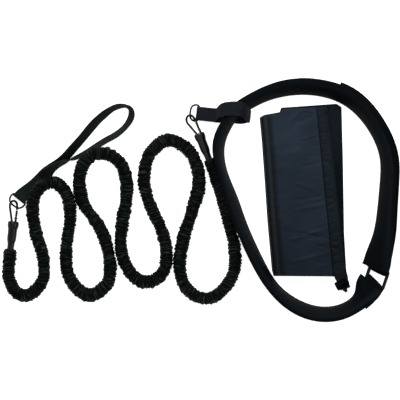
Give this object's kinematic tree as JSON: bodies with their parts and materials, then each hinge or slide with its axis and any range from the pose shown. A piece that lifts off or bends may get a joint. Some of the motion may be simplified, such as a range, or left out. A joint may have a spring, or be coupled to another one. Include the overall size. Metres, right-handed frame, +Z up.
{
  "type": "swim resistance belt",
  "caption": "Padded waist belt with a ribbed bungee cord clipped to it, a hand strap on the cord's other hook, and a folded drawstring pouch.",
  "frame": {"origin": "on the surface that the belt lies on, under the middle of the box round everything but the cord", "axes": "+Z up from the surface, +X from the hand strap towards the waist belt, +Y towards the belt's far side"},
  "size_m": [0.7084, 0.4313, 0.0578],
  "materials": {
    "webbing": "matt black woven webbing",
    "ruched_nylon": "ruched black nylon, semi-matt",
    "satin_nylon": "smooth black nylon, satin",
    "navy_nylon": "coated navy-black nylon, satin",
    "hook_and_loop": "black hook and loop pile",
    "black_steel": "black oxide steel",
    "spring_steel": "bright",
    "black_plastic": "moulded black, semi-gloss",
    "latex": "natural latex",
    "foam": "closed-cell foam"
  },
  "bodies": {
    "belt": {"handle_webbing": "webbing", "handle_ring_stitching": "webbing", "handle_loop_stitching": "webbing", "buckle_ring": "black_steel", "bungee_sleeve": "ruched_nylon", "latex_tube": "latex", "waist_cover": "satin_nylon", "waist_foam": "foam", "upper_end_binding": "webbing", "lower_end_binding": "webbing", "tail_webbing": "webbing", "loop_patch": "hook_and_loop", "hook_patch": "hook_and_loop", "ring_tab": "webbing", "tab_webbing": "webbing", "tab_stitching": "webbing", "pouch_back": "navy_nylon", "pouch_front": "navy_nylon", "pouch_hem": "navy_nylon", "hem_bartack": "webbing", "drawcord": "ruched_nylon", "drawcord_knot": "ruched_nylon", "cord_lock_barrel": "black_plastic", "cord_lock_spring": "spring_steel", "left_hook_frame": "black_steel", "left_gate_pin": "spring_steel", "left_end_sleeve": "black_plastic", "left_cord_loop": "ruched_nylon", "left_crimp": "spring_steel", "right_hook_frame": "black_steel", "right_gate_pin": "spring_steel", "right_end_sleeve": "black_plastic", "right_cord_loop": "ruched_nylon", "right_crimp": "spring_steel"},
    "left_gate": {"left_hook_gate": "black_steel", "left_gate_spring": "spring_steel"},
    "right_gate": {"right_hook_gate": "black_steel", "right_gate_spring": "spring_steel"},
    "handle_ring": {"handle_d_ring": "black_steel"},
    "belt_ring": {"belt_d_ring": "black_steel"},
    "lock_button": {"cord_lock_button": "black_plastic"}
  },
  "joints": [
    {"name": "left_gate_hinge", "type": "hinge", "parent": "belt", "child": "left_gate", "pos_m": [-0.33399, -0.03402, 0.01338], "axis": [-0.5887, 0.0478, 0.807], "range_deg": [0, 22], "stiffness_Nm_per_rad": 0.01, "springref_deg": -17.19},
    {"name": "right_gate_hinge", "type": "hinge", "parent": "belt", "child": "right_gate", "pos_m": [-0.00546, 0.12555, 0.0139], "axis": [-0.5514, -0.2274, 0.8026], "range_deg": [0, 22], "stiffness_Nm_per_rad": 0.01, "springref_deg": -17.19},
    {"name": "handle_ring_hinge", "type": "hinge", "parent": "belt", "child": "handle_ring", "pos_m": [-0.3278, 0.0025, 0.0094], "axis": [0.788, -0.6157, 0], "range_deg": [-2, 2]},
    {"name": "belt_ring_hinge", "type": "hinge", "parent": "belt", "child": "belt_ring", "pos_m": [-0.0074, 0.1546, 0.0056], "axis": [-0.1392, -0.9903, 0], "range_deg": [-1.5, 1.5]},
    {"name": "lock_button_slide", "type": "slide", "parent": "belt", "child": "lock_button", "axis": [-0.8829, -0.4695, 0], "range_m": [0, 0.0034], "stiffness_N_per_m": 600, "springref_m": -0.004, "deforming": ["cord_lock_spring"]}
  ]
}
